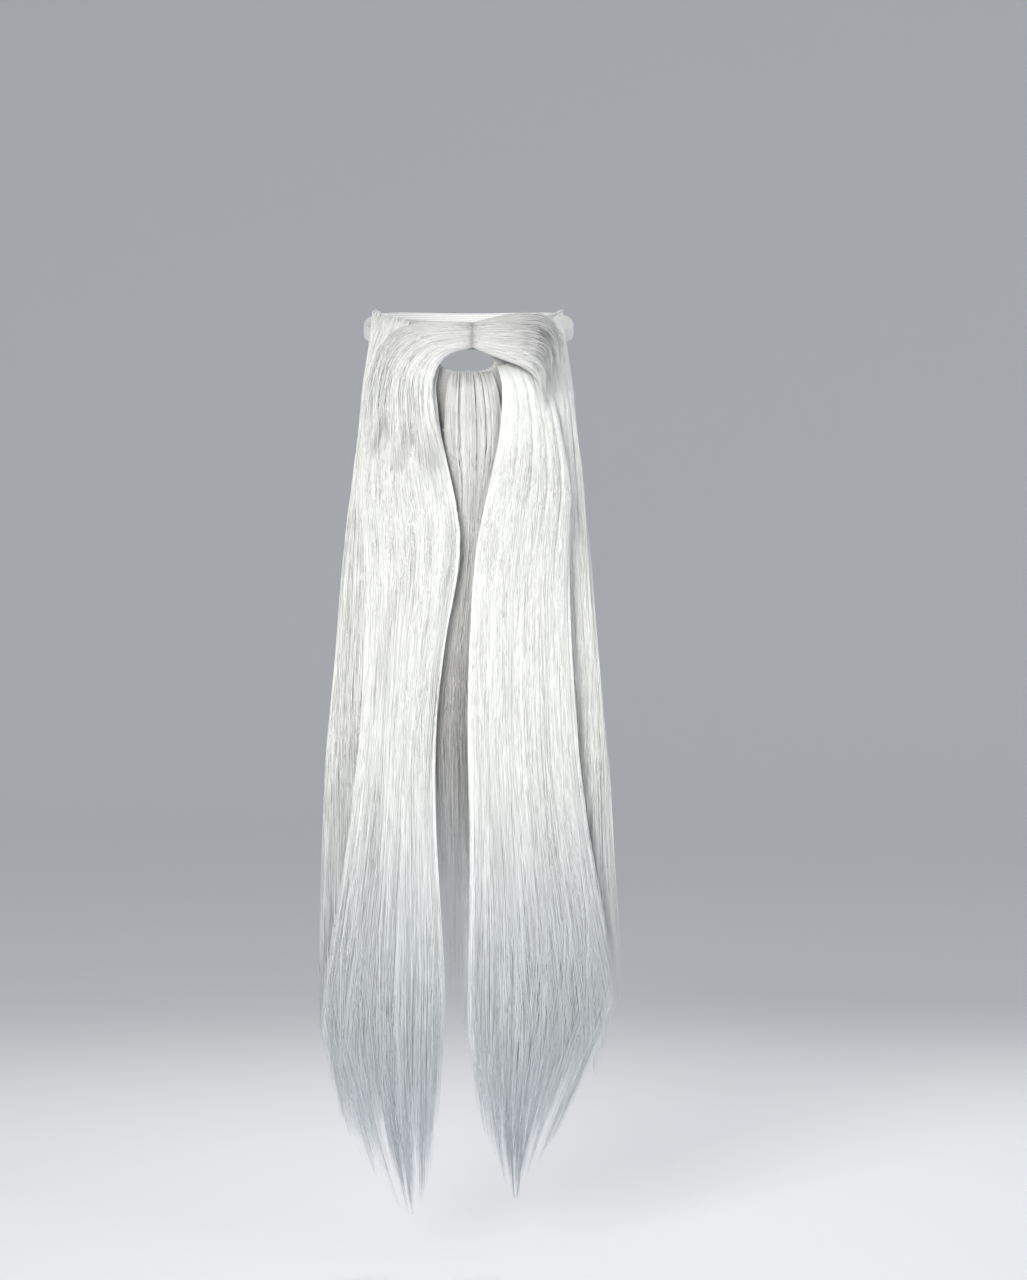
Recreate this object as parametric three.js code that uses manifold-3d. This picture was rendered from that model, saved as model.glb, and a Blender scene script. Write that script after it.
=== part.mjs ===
// A long costume beard with its moustache, in the form that it has when worn. The hair hangs in locks from a
// cloth base that is shaped to the chin and has a hole for the mouth. An elastic strap, sewn inside the ends
// of the cloth, goes round the back of the head.
// Millimetres. -Y is forwards, +Z is up and +X is the wearer's left. The origin is where the beard sits: the
// middle of the upper lip, on the inner face of the cloth.
import * as THREE from "three";
import { mergeVertices } from "three/addons/utils/BufferGeometryUtils.js";
import Module from "manifold-3d";

const { clamp, degToRad, lerp, smoothstep } = THREE.MathUtils;
const wasm = await Module();
wasm.setup();

// Clearance between pieces that lie on each other
const GAP = 0.4;

// Cloth base, fitted to the lower face
const FACE_HALF_WIDTH = 68;
const FACE_DEPTH = 88;
const CLOTH_WALL = 1.6;
const CLOTH_RISE = 5;
const CLOTH_DROP = 88;
const CLOTH_END_RISE = 20;
const CLOTH_END_DROP = 30;
const CLOTH_REACH = degToRad(78);
const CHIN_TUCK = 16;

// Hole for the mouth
const MOUTH_HALF_WIDTH = 20;
const MOUTH_HALF_HEIGHT = 8.5;
const MOUTH_DROP = 22.5;

// Elastic strap round the head
const STRAP_WIDTH = 10;
const STRAP_THICKNESS = 1.2;
const STRAP_SEAM_LENGTH = 14;
const STRAP_LEVEL = 2;
const STRAP_CLIMB = 22;
const HEAD_HALF_WIDTH = 77;
const HEAD_LENGTH = 202;

// Free hair, below the cloth: its length, the broad curve on which it lies, and how far its front stands out
const FALL_LENGTH = 538;
const FALL_HALF_WIDTH = 128;
const FALL_CURVE_DEPTH = 34;
const HAIR_DEPTH = 36;

// Locks: how much shorter the hair is between two locks, how deep their grooves are, how thin their edges
// and tips, and how thick their roots, as shares of a piece's length or thickness
const NOTCH_SHARE = 0.09;
const GROOVE_SHARE = 0.34;
const EDGE_SHARE = 0.16;
const ROOT_SHARE = 0.5;

// Mesh divisions
const ROWS_DOWN_HAIR = 14;
const COLUMNS_PER_LOCK = 4;
const CLOTH_COLUMNS = 36;
const CLOTH_ROWS = 8;
const STRAP_STEPS = 60;
const MOUTH_SIDES = 20;

const CLOTH_HEIGHT = CLOTH_RISE + CLOTH_DROP;

// The form of the lower face, from the top edge of the cloth to its bottom edge, in even steps.
// wide: share of FACE_HALF_WIDTH; back: share of CHIN_TUCK
const JAW = [
  { wide: 1.0, back: 0.0 },
  { wide: 1.0, back: 0.0 },
  { wide: 0.99, back: 0.12 },
  { wide: 0.96, back: 0.2 },
  { wide: 0.9, back: 0.1 },
  { wide: 0.78, back: 1.0 },
];

// Hair tables run from the root to the tips. Each row is a section of the piece, between its first edge (a)
// and its second edge (b).
// level: 0 at the top edge of the cloth, 1 at its bottom edge and 2 at the longest tip
// side: share of the half width of the form that the hair lies on, - to the wearer's right
// stand: how far the middle of the section stands off that form, as a share of HAIR_DEPTH
// thick: thickness of the section, as a share of HAIR_DEPTH
const row = (aLevel, aSide, bLevel, bSide, stand, thick) => ({ aLevel, aSide, bLevel, bSide, stand, thick });

const MOUSTACHE_RIGHT = [
  row(0.2, 0.05, 0.01, 0.05, 0.112, 0.22),
  row(0.235, -0.11, 0.0, -0.17, 0.2, 0.28),
  row(0.3, -0.21, 0.01, -0.45, 0.31, 0.3),
  row(0.45, -0.27, 0.12, -0.66, 0.42, 0.32),
  row(0.68, -0.25, 0.4, -0.76, 0.56, 0.28),
  row(0.93, -0.185, 0.74, -0.775, 0.7, 0.19),
  row(1.04, -0.115, 1.0, -0.76, 0.84, 0.1),
];
const MOUSTACHE_LEFT = [
  row(0.2, 0.062, 0.01, 0.062, 0.112, 0.22),
  row(0.245, 0.18, -0.02, 0.2, 0.21, 0.3),
  row(0.3, 0.34, -0.055, 0.4, 0.31, 0.38),
  row(0.36, 0.51, -0.07, 0.6, 0.38, 0.4),
  row(0.46, 0.6, 0.05, 0.75, 0.43, 0.3),
  row(0.6, 0.61, 0.33, 0.79, 0.44, 0.13),
];
const CHIN_TUFT = [
  row(0.405, -0.17, 0.405, 0.25, 0.05, 0.1),
  row(0.62, -0.2, 0.62, 0.31, 0.1, 0.13),
  row(1.0, -0.19, 1.0, 0.3, 0.19, 0.17),
  row(1.04, -0.13, 1.04, 0.23, 0.21, 0.19),
  row(1.14, -0.13, 1.14, 0.16, 0.34, 0.21),
  row(1.32, -0.25, 1.32, 0.08, 0.39, 0.22),
  row(1.52, -0.22, 1.52, 0.09, 0.38, 0.19),
  row(1.74, -0.17, 1.74, 0.06, 0.34, 0.1),
];
const FRONT_FALL_RIGHT = [
  row(0.33, -0.28, 0.16, -0.7, 0.055, 0.11),
  row(0.61, -0.3, 0.61, -0.79, 0.23, 0.28),
  row(1.04, -0.125, 1.04, -0.735, 0.6, 0.5),
  row(1.14, -0.06, 1.14, -0.62, 0.72, 0.54),
  row(1.32, -0.195, 1.32, -0.56, 0.76, 0.5),
  row(1.52, -0.165, 1.52, -0.585, 0.74, 0.46),
  row(1.71, -0.13, 1.71, -0.72, 0.7, 0.4),
  row(1.84, -0.155, 1.84, -0.67, 0.62, 0.32),
  row(1.95, -0.185, 1.95, -0.5, 0.52, 0.2),
  row(2.0, -0.24, 2.0, -0.38, 0.46, 0.1),
];
const FRONT_FALL_LEFT = [
  row(0.33, 0.315, 0.2, 0.72, 0.055, 0.11),
  row(0.61, 0.35, 0.61, 0.79, 0.23, 0.28),
  row(1.04, 0.19, 1.04, 0.745, 0.6, 0.5),
  row(1.14, 0.075, 1.14, 0.64, 0.72, 0.54),
  row(1.32, 0.025, 1.32, 0.58, 0.76, 0.5),
  row(1.52, 0.045, 1.52, 0.6, 0.74, 0.46),
  row(1.71, 0.03, 1.71, 0.755, 0.7, 0.4),
  row(1.84, 0.06, 1.84, 0.57, 0.62, 0.32),
  row(1.95, 0.185, 1.95, 0.37, 0.52, 0.2),
  row(1.985, 0.24, 1.985, 0.3, 0.46, 0.1),
];
const CHEEK_FALL_RIGHT = [
  row(0.03, -0.63, -0.08, -0.965, 0.06, 0.11),
  row(0.37, -0.8, 0.37, -0.985, 0.13, 0.22),
  row(0.86, -0.825, 0.86, -0.98, 0.22, 0.3),
  row(1.04, -0.775, 1.04, -0.96, 0.3, 0.34),
  row(1.14, -0.665, 1.14, -0.91, 0.3, 0.36),
  row(1.32, -0.6, 1.32, -0.81, 0.24, 0.32),
  row(1.52, -0.5, 1.52, -0.77, 0.22, 0.3),
  row(1.71, -0.5, 1.71, -0.8, 0.22, 0.26),
  row(1.8, -0.55, 1.8, -0.78, 0.2, 0.2),
  row(1.88, -0.6, 1.88, -0.72, 0.2, 0.1),
];
const CHEEK_FALL_LEFT = [
  row(0.03, 0.72, -0.08, 0.965, 0.055, 0.11),
  row(0.37, 0.8, 0.37, 0.985, 0.13, 0.22),
  row(0.86, 0.825, 0.86, 0.98, 0.22, 0.3),
  row(1.04, 0.785, 1.04, 0.96, 0.3, 0.34),
  row(1.14, 0.68, 1.14, 0.91, 0.3, 0.36),
  row(1.32, 0.62, 1.32, 0.81, 0.24, 0.32),
  row(1.52, 0.5, 1.52, 0.78, 0.22, 0.3),
  row(1.68, 0.5, 1.68, 0.83, 0.22, 0.26),
  row(1.76, 0.58, 1.76, 0.83, 0.2, 0.2),
  row(1.83, 0.64, 1.83, 0.78, 0.2, 0.1),
];
const NECK_FALL = [
  row(0.8, -0.68, 0.8, 0.68, 0.068, 0.11),
  row(1.0, -0.66, 1.0, 0.66, -0.12, 0.16),
  row(1.04, -0.66, 1.04, 0.66, -0.02, 0.2),
  row(1.14, -0.62, 1.14, 0.63, 0.1, 0.22),
  row(1.32, -0.56, 1.32, 0.57, 0.12, 0.24),
  row(1.52, -0.47, 1.52, 0.47, 0.12, 0.24),
  row(1.65, -0.46, 1.65, 0.46, 0.1, 0.2),
  row(1.76, -0.44, 1.76, 0.42, 0.1, 0.1),
];

// Where each lock ends, from the first edge of its piece to the second, as a share of the piece's length
const TIPS = {
  moustache_right: [0.95, 1.0, 0.96],
  moustache_left: [1.0, 0.94, 0.97],
  chin_tuft: [0.96, 1.0, 0.95],
  front_fall_right: [0.95, 1.0, 0.98, 0.95, 0.9],
  front_fall_left: [0.93, 1.0, 0.98, 0.94, 0.88],
  cheek_fall_right: [0.9, 0.97, 1.0, 0.93],
  cheek_fall_left: [0.88, 1.0, 0.96, 0.9],
  neck_fall: [0.93, 0.98, 0.93, 1.0, 0.92, 1.0, 0.94],
};

// The value of a column at a share of the way along a table, on a smooth curve through its rows
function along(table, column, share) {
  const place = clamp(share, 0, 1) * (table.length - 1);
  const first = Math.min(Math.floor(place), table.length - 2);
  const [p, q, r, s] = [-1, 0, 1, 2].map((k) => table[clamp(first + k, 0, table.length - 1)][column]);
  const t = place - first;
  return q + (t * (r - p + t * (2 * p - 5 * q + 4 * r - s + t * (3 * (q - r) + s - p)))) / 2;
}

// A level of the hair tables as a height
function heightOf(level) {
  return level <= 1 ? CLOTH_RISE - level * CLOTH_HEIGHT : -CLOTH_DROP - (level - 1) * FALL_LENGTH;
}

// The form that the cloth's inner face follows at a height: the front of half an ellipse
function faceForm(z) {
  const share = (CLOTH_RISE - z) / CLOTH_HEIGHT;
  return {
    halfWidth: FACE_HALF_WIDTH * along(JAW, "wide", share),
    depth: FACE_DEPTH,
    front: CHIN_TUCK * along(JAW, "back", share),
  };
}

// The form that the hair follows: just outside the cloth at the face, then a broader and flatter curve
function hairForm(z) {
  const cover = CLOTH_WALL + GAP;
  const spread = smoothstep(-z, 0.8 * CLOTH_DROP, CLOTH_DROP + 0.5 * FALL_LENGTH);
  return {
    halfWidth: lerp(FACE_HALF_WIDTH + cover, FALL_HALF_WIDTH, spread),
    depth: lerp(FACE_DEPTH + cover, FALL_CURVE_DEPTH, spread),
    front: -cover,
  };
}

// A point at an angle round a form, moved out from it
function pointOn(form, angle, z, out) {
  const nx = form.depth * Math.sin(angle);
  const ny = -form.halfWidth * Math.cos(angle);
  const length = Math.hypot(nx, ny);
  return new THREE.Vector3(
    form.halfWidth * Math.sin(angle) + (out * nx) / length,
    form.front + form.depth * (1 - Math.cos(angle)) + (out * ny) / length,
    z,
  );
}

// A closed wall between an outer and an inner surface, both functions of two shares
function wallBetween(outer, inner, columns, rows, mirrored) {
  const places = [];
  for (const surface of [outer, inner]) {
    for (let i = 0; i <= rows; i++) {
      for (let j = 0; j <= columns; j++) places.push(...surface(j / columns, i / rows).toArray());
    }
  }
  const at = (side, i, j) => (side * (rows + 1) + i) * (columns + 1) + j;
  const faces = [];
  const quad = (a, b, c, d) => faces.push(...(mirrored ? [a, c, b, a, d, c] : [a, b, c, a, c, d]));
  for (let i = 0; i < rows; i++) {
    for (let j = 0; j < columns; j++) {
      quad(at(0, i, j), at(0, i + 1, j), at(0, i + 1, j + 1), at(0, i, j + 1));
      quad(at(1, i, j), at(1, i, j + 1), at(1, i + 1, j + 1), at(1, i + 1, j));
    }
  }
  for (let i = 0; i < rows; i++) {
    quad(at(0, i, 0), at(1, i, 0), at(1, i + 1, 0), at(0, i + 1, 0));
    quad(at(0, i, columns), at(0, i + 1, columns), at(1, i + 1, columns), at(1, i, columns));
  }
  for (let j = 0; j < columns; j++) {
    quad(at(0, 0, j), at(0, 0, j + 1), at(1, 0, j + 1), at(1, 0, j));
    quad(at(0, rows, j), at(1, rows, j), at(1, rows, j + 1), at(0, rows, j + 1));
  }
  const geometry = new THREE.BufferGeometry();
  geometry.setAttribute("position", new THREE.Float32BufferAttribute(places, 3));
  geometry.setIndex(faces);
  return geometry;
}

// manifold-3d solids, for the cut
function solidOf(geometry) {
  const bare = geometry.clone();
  bare.deleteAttribute("normal");
  bare.deleteAttribute("uv");
  const merged = mergeVertices(bare, 1e-4);
  const triVerts = new Uint32Array(merged.index.array);
  const vertProperties = merged.attributes.position.array;
  return new wasm.Manifold(new wasm.Mesh({ numProp: 3, vertProperties, triVerts }));
}

function geometryOf(solid) {
  const mesh = solid.getMesh();
  const geometry = new THREE.BufferGeometry();
  geometry.setAttribute("position", new THREE.BufferAttribute(mesh.vertProperties, 3));
  geometry.setIndex(new THREE.BufferAttribute(mesh.triVerts, 1));
  return geometry;
}

// The cloth: a wall on the form of the face, deepest at the chin, with the mouth cut through it
function clothBase() {
  const surface = (out) => (u, v) => {
    const angle = lerp(-CLOTH_REACH, CLOTH_REACH, u);
    const round = Math.abs(angle) / CLOTH_REACH;
    const top = lerp(CLOTH_RISE, CLOTH_END_RISE, round * round);
    const bottom = -lerp(CLOTH_DROP, CLOTH_END_DROP, Math.pow(round, 1.6));
    const z = lerp(top, bottom, v);
    return pointOn(faceForm(z), angle, z, out);
  };
  const wall = wallBetween(surface(CLOTH_WALL), surface(0), CLOTH_COLUMNS, CLOTH_ROWS, false);
  const outline = new THREE.Shape();
  outline.absellipse(0, -MOUTH_DROP, MOUTH_HALF_WIDTH, MOUTH_HALF_HEIGHT, 0, 2 * Math.PI, false, 0);
  const punch = new THREE.ExtrudeGeometry(outline, {
    depth: FACE_DEPTH,
    bevelEnabled: false,
    curveSegments: MOUTH_SIDES,
  });
  punch.rotateX(Math.PI / 2).translate(0, FACE_DEPTH / 2, 0);
  punch.index = null;
  return geometryOf(solidOf(wall).subtract(solidOf(punch)));
}

// The strap: a flat band that starts on the inner face of the cloth and goes round the back of the head
function elasticStrap() {
  const inside = -GAP - STRAP_THICKNESS / 2;
  const seamAngle = STRAP_SEAM_LENGTH / FACE_DEPTH;
  const half = [
    ...[1, 0.5, 0].map((k) => pointOn(faceForm(0), CLOTH_REACH - k * seamAngle, 0, inside)),
    new THREE.Vector3(HEAD_HALF_WIDTH, 0.56 * HEAD_LENGTH, 0),
    new THREE.Vector3(0.88 * HEAD_HALF_WIDTH, 0.79 * HEAD_LENGTH, 0),
    new THREE.Vector3(0.5 * HEAD_HALF_WIDTH, 0.95 * HEAD_LENGTH, 0),
  ];
  const back = new THREE.Vector3(0, HEAD_LENGTH, 0);
  const mirrored = half.map((p) => new THREE.Vector3(-p.x, p.y, 0));
  const path = new THREE.CatmullRomCurve3([...half, back, ...mirrored.reverse()], false, "centripetal");
  path.arcLengthDivisions = 20 * STRAP_STEPS;
  const surface = (out) => (u, v) => {
    const place = path.getPointAt(v);
    const tangent = path.getTangentAt(v);
    const climb = STRAP_CLIMB * smoothstep(Math.sin(Math.PI * v), 0.15, 1);
    const z = STRAP_LEVEL + climb + (u - 0.5) * STRAP_WIDTH;
    return new THREE.Vector3(place.x + out * tangent.y, place.y - out * tangent.x, z);
  };
  return wallBetween(surface(STRAP_THICKNESS / 2), surface(-STRAP_THICKNESS / 2), 1, STRAP_STEPS, false);
}

// A piece of hair: locks side by side, joined along their length and free at their tips
function hairPiece(table, tips, leaving, mirrored) {
  const columns = tips.length * COLUMNS_PER_LOCK;
  const heights = table.map((r) => ({ ...r, aHeight: heightOf(r.aLevel), bHeight: heightOf(r.bLevel) }));
  const lockAt = (u) => {
    const place = u * tips.length;
    const index = Math.min(Math.floor(place), tips.length - 1);
    const within = place - index;
    const neighbour = clamp(index + (within < 0.5 ? -1 : 1), 0, tips.length - 1);
    const middle = 1 - Math.abs(2 * within - 1);
    const notch = Math.min(tips[index], tips[neighbour]) - NOTCH_SHARE;
    return { end: lerp(notch, tips[index], middle), groove: GROOVE_SHARE * (1 - middle) * (1 - middle) };
  };
  const surface = (outward) => (u, v) => {
    const { end, groove } = lockAt(u);
    const share = v * end;
    const value = (column) => along(heights, column, share);
    const z = lerp(value("aHeight"), value("bHeight"), u);
    const angle = lerp(Math.asin(value("aSide")), Math.asin(value("bSide")), u);
    const edge = Math.max(EDGE_SHARE, Math.sqrt(1 - Math.pow(2 * u - 1, 4)));
    const root = lerp(ROOT_SHARE, 1, smoothstep(v, 0, 0.12));
    const taper = lerp(1, EDGE_SHARE, Math.pow(v, 6));
    const thickness = HAIR_DEPTH * value("thick") * edge * taper;
    const half = (thickness / 2) * (outward > 0 ? root * (1 - groove) : 1);
    const out = HAIR_DEPTH * value("stand") + outward * half;
    const onCloth = pointOn(faceForm(z), angle, z, CLOTH_WALL + GAP + out);
    const onHair = pointOn(hairForm(z), angle, z, out);
    return onCloth.lerp(onHair, smoothstep(share, 0, leaving));
  };
  return wallBetween(surface(1), surface(-1), columns, ROWS_DOWN_HAIR, mirrored);
}

const HAIR = new THREE.MeshStandardMaterial({ name: "hair", color: 0xe9ebe6, roughness: 0.45, metalness: 0 });
const CLOTH = new THREE.MeshStandardMaterial({ name: "cloth", color: 0xd8d6d2, roughness: 0.9, metalness: 0 });
const ELASTIC = new THREE.MeshStandardMaterial({ name: "elastic", color: 0xe6e6e2, roughness: 0.8, metalness: 0 });

const beard = new THREE.Group();

function add(name, geometry, material) {
  const mesh = new THREE.Mesh(geometry, material);
  mesh.name = name;
  beard.add(mesh);
}

add("cloth_base", clothBase(), CLOTH);
add("elastic_strap", elasticStrap(), ELASTIC);
add("neck_fall", hairPiece(NECK_FALL, TIPS.neck_fall, 0.12, false), HAIR);
add("cheek_fall_right", hairPiece(CHEEK_FALL_RIGHT, TIPS.cheek_fall_right, 0.1, true), HAIR);
add("cheek_fall_left", hairPiece(CHEEK_FALL_LEFT, TIPS.cheek_fall_left, 0.1, false), HAIR);
add("chin_tuft", hairPiece(CHIN_TUFT, TIPS.chin_tuft, 0.25, false), HAIR);
add("front_fall_right", hairPiece(FRONT_FALL_RIGHT, TIPS.front_fall_right, 0.1, true), HAIR);
add("front_fall_left", hairPiece(FRONT_FALL_LEFT, TIPS.front_fall_left, 0.1, false), HAIR);
add("moustache_right", hairPiece(MOUSTACHE_RIGHT, TIPS.moustache_right, 0.5, true), HAIR);
add("moustache_left", hairPiece(MOUSTACHE_LEFT, TIPS.moustache_left, 0.5, false), HAIR);

export default beard;
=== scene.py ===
import bpy
import numpy as np
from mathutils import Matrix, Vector


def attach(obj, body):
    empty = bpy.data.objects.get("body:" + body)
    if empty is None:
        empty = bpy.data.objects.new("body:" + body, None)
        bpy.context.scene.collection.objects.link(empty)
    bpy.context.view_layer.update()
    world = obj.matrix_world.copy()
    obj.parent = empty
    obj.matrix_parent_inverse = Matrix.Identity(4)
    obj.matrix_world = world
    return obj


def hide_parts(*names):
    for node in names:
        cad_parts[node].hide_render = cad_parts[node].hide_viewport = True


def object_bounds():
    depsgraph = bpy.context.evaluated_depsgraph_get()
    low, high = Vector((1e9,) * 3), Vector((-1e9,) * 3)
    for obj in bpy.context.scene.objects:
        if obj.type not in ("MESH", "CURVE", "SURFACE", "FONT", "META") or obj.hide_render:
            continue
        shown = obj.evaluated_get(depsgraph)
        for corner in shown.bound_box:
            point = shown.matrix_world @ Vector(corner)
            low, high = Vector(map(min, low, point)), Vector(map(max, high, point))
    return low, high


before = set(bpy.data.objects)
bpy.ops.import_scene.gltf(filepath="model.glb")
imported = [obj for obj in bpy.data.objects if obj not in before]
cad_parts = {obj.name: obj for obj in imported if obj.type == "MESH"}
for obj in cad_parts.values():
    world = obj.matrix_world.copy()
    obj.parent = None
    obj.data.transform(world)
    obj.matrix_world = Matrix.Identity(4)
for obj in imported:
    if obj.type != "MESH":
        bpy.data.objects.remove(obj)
cad_low, cad_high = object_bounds()

# The set: a wide pale floor whose rim turns up all round, and a level camera in front, which frames 719 by
# 896 mm at the front of the hair. Pixels are counted in a picture of 1027 by 1280.
PIXEL = 0.0007
PICTURE = (1027, 1280)
LIP_PIXEL = (466, 325)
CAMERA_DISTANCE = 2.6
SENSOR = 36.0
FLOOR_DROP = 0.035
SWEEP_COLOUR = (0.86, 0.865, 0.88, 1)
SWEEP_REACH = 11.0
SWEEP_BEND = 5.0
SWEEP_HEIGHT = 5.0
SWEEP_BEND_STEPS = 16
SWEEP_TURN_STEPS = 72

middle_x = (PICTURE[0] / 2 - LIP_PIXEL[0]) * PIXEL
middle_z = (LIP_PIXEL[1] - PICTURE[1] / 2) * PIXEL
camera_data = bpy.data.cameras.new("camera")
camera_data.sensor_width = SENSOR
camera_data.lens = SENSOR * CAMERA_DISTANCE / (PICTURE[1] * PIXEL)
camera = bpy.data.objects.new("camera", camera_data)
camera.location = (middle_x, cad_low.y - CAMERA_DISTANCE, middle_z)
camera.rotation_euler = (np.pi / 2, 0, 0)
bpy.context.collection.objects.link(camera)
bpy.context.scene.camera = camera
bpy.context.scene.view_settings.view_transform = "Standard"


def grid_faces(rows, columns, rows_close=False, columns_close=False):
    """Quads of a grid of rows by columns of points, and round the rows or the columns where they close."""
    row, column = np.arange(rows - (not rows_close)), np.arange(columns - (not columns_close))
    i, j = np.meshgrid(row, column, indexing="ij")
    below, right = (i + 1) % rows, (j + 1) % columns
    quads = [i * columns + j, below * columns + j, below * columns + right, i * columns + right]
    return np.stack(quads, -1).reshape(-1, 4)


def new_piece(name, points, quads, triangles=None, uv=None):
    """A smooth mesh object at the origin from arrays of points in metres, quads, triangles and UV places."""
    triangles = np.zeros((0, 3), int) if triangles is None else triangles
    corners = np.concatenate([quads.ravel(), triangles.ravel()]).astype(np.int32)
    sizes = np.concatenate([np.full(len(quads), 4), np.full(len(triangles), 3)])
    mesh = bpy.data.meshes.new(name)
    mesh.vertices.add(len(points))
    mesh.vertices.foreach_set("co", points.astype(np.float32).ravel())
    mesh.loops.add(len(corners))
    mesh.loops.foreach_set("vertex_index", corners)
    mesh.polygons.add(len(sizes))
    mesh.polygons.foreach_set("loop_start", (np.cumsum(sizes) - sizes).astype(np.int32))
    mesh.polygons.foreach_set("use_smooth", np.ones(len(sizes), bool))
    mesh.update(calc_edges=True)
    if uv is not None:
        mesh.uv_layers.new(name="OFBake").uv.foreach_set("vector", uv[corners].astype(np.float32).ravel())
    made = bpy.data.objects.new(name, mesh)
    bpy.context.collection.objects.link(made)
    return made


def sweep_surface():
    """A round floor whose rim turns up into a wall: a radius that grows to SWEEP_REACH, with a quarter circle of
    radius SWEEP_BEND before it, then straight up. This profile is turned once round the upright axis."""
    turn = np.linspace(0, np.pi / 2, SWEEP_BEND_STEPS)
    level = SWEEP_REACH - SWEEP_BEND
    radius = np.concatenate([[0], level + SWEEP_BEND * np.sin(turn), [SWEEP_REACH]])
    z = np.concatenate([[0], SWEEP_BEND - SWEEP_BEND * np.cos(turn), [SWEEP_HEIGHT]])
    angle = np.linspace(0, 2 * np.pi, SWEEP_TURN_STEPS, endpoint=False)
    x, y = radius * np.cos(angle)[:, None], radius * np.sin(angle)[:, None]
    points = np.stack(np.broadcast_arrays(x, y, z), -1)
    return points.reshape(-1, 3), grid_faces(len(angle), len(radius), rows_close=True)


class Value:
    """A socket that numbers and other sockets are added to, multiplied with and so on, by Math nodes."""

    def __init__(self, shader, socket):
        self.shader, self.socket = shader, socket

    def math(self, operation, other=0.0, swap=False):
        first, second = (other, self) if swap else (self, other)
        return self.shader.value("Math", {"operation": operation}, i0=first, i1=second)

    def __add__(self, other):
        return self.math("ADD", other)

    def __sub__(self, other):
        return self.math("SUBTRACT", other)

    def __rsub__(self, other):
        return self.math("SUBTRACT", other, True)

    def __mul__(self, other):
        return self.math("MULTIPLY", other)

    __radd__ = __add__
    __rmul__ = __mul__


class Shader:
    """A material's node tree. make adds a node of a type with its settings and the values or links of its
    sockets, value does so and gives its first output, and finish adds the surface and gives the material."""

    def __init__(self, name):
        self.material = bpy.data.materials.new(name)
        self.material.use_nodes = True
        self.tree = self.material.node_tree
        self.tree.nodes.clear()

    def make(self, kind, settings=None, **sockets):
        node = self.tree.nodes.new("ShaderNode" + kind)
        for key, value in (settings or {}).items():
            if key == "stops":
                for _ in value[2:]:
                    node.color_ramp.elements.new(0.5)
                for element, (place, colour) in zip(node.color_ramp.elements, value):
                    element.position = place
                    element.color = (*colour, 1)
            else:
                setattr(node, key, value)
        for key, value in sockets.items():
            place = int(key[1:]) if key[1:].isdigit() else key.replace("_", " ")
            if isinstance(value, Value):
                self.tree.links.new(value.socket, node.inputs[place])
            else:
                node.inputs[place].default_value = value
        return node

    def value(self, kind, settings=None, **sockets):
        return Value(self, self.make(kind, settings, **sockets).outputs[0])

    def uv(self):
        """The two numbers of the piece's own UV map."""
        parts = self.make("SeparateXYZ", None, Vector=self.value("UVMap", {"uv_map": "OFBake"}))
        return Value(self, parts.outputs[0]), Value(self, parts.outputs[1])

    def noise(self, x, y, detail=2.0):
        """Noise of two numbers, which already hold its scale."""
        place = self.value("CombineXYZ", None, X=x, Y=y)
        return self.value("TexNoise", {"noise_dimensions": "2D"}, Vector=place, Scale=1.0, Detail=detail)

    def multiply(self, colour, tint, share):
        """A colour multiplied by a tint, as far as share says."""
        settings = {"data_type": "RGBA", "blend_type": "MULTIPLY"}
        return Value(self, self.make("Mix", settings, i0=share, i6=colour, i7=(*tint, 1)).outputs[2])

    def finish(self, **sockets):
        surface = self.make("BsdfPrincipled", None, **sockets)
        output = self.tree.nodes.new("ShaderNodeOutputMaterial")
        self.tree.links.new(surface.outputs[0], output.inputs[0])
        return self.material


points, faces = sweep_surface()
points[:, 2] += cad_low.z - FLOOR_DROP
floor = new_piece("floor", points, faces)
paper = Shader("sweep_paper").finish(Base_Color=SWEEP_COLOUR, Roughness=0.9, Specular_IOR_Level=0.2)
floor.data.materials.append(paper)

# Studio light: a big soft box from the upper left in front, a wide fill from the right, and a soft light from
# behind that picks out the edges of the hair. Their narrow spread keeps them off the floor near them.
LIGHTS = [
    # name, place, size, watts, colour
    ("key", (-1.0, -3.6, 0.7), 1.5, 18, (1.0, 0.985, 0.955)),
    ("fill", (2.1, -2.4, 0.2), 1.8, 4, (0.95, 0.97, 1.0)),
    ("edge", (0.9, 2.2, 1.4), 1.2, 7, (1.0, 1.0, 1.0)),
]
LIGHT_AIM = Vector((0, 0, -0.25))
LIGHT_SPREAD = 1.2
SKY_COLOUR = (0.93, 0.96, 1.0, 1)
SKY_STRENGTH = 0.46
for name, place, size, watts, colour in LIGHTS:
    light_data = bpy.data.lights.new(name, "AREA")
    light_data.shape = "DISK"
    light_data.size, light_data.energy, light_data.color = size, watts, colour
    light_data.spread = LIGHT_SPREAD
    light = bpy.data.objects.new(name, light_data)
    light.location = place
    light.visible_camera = False
    light.rotation_euler = (LIGHT_AIM - Vector(place)).to_track_quat("-Z", "Y").to_euler()
    bpy.context.collection.objects.link(light)
world = bpy.data.worlds.new("studio")
world.use_nodes = True
world.node_tree.nodes["Background"].inputs[0].default_value = SKY_COLOUR
world.node_tree.nodes["Background"].inputs[1].default_value = SKY_STRENGTH
bpy.context.scene.world = world

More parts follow.
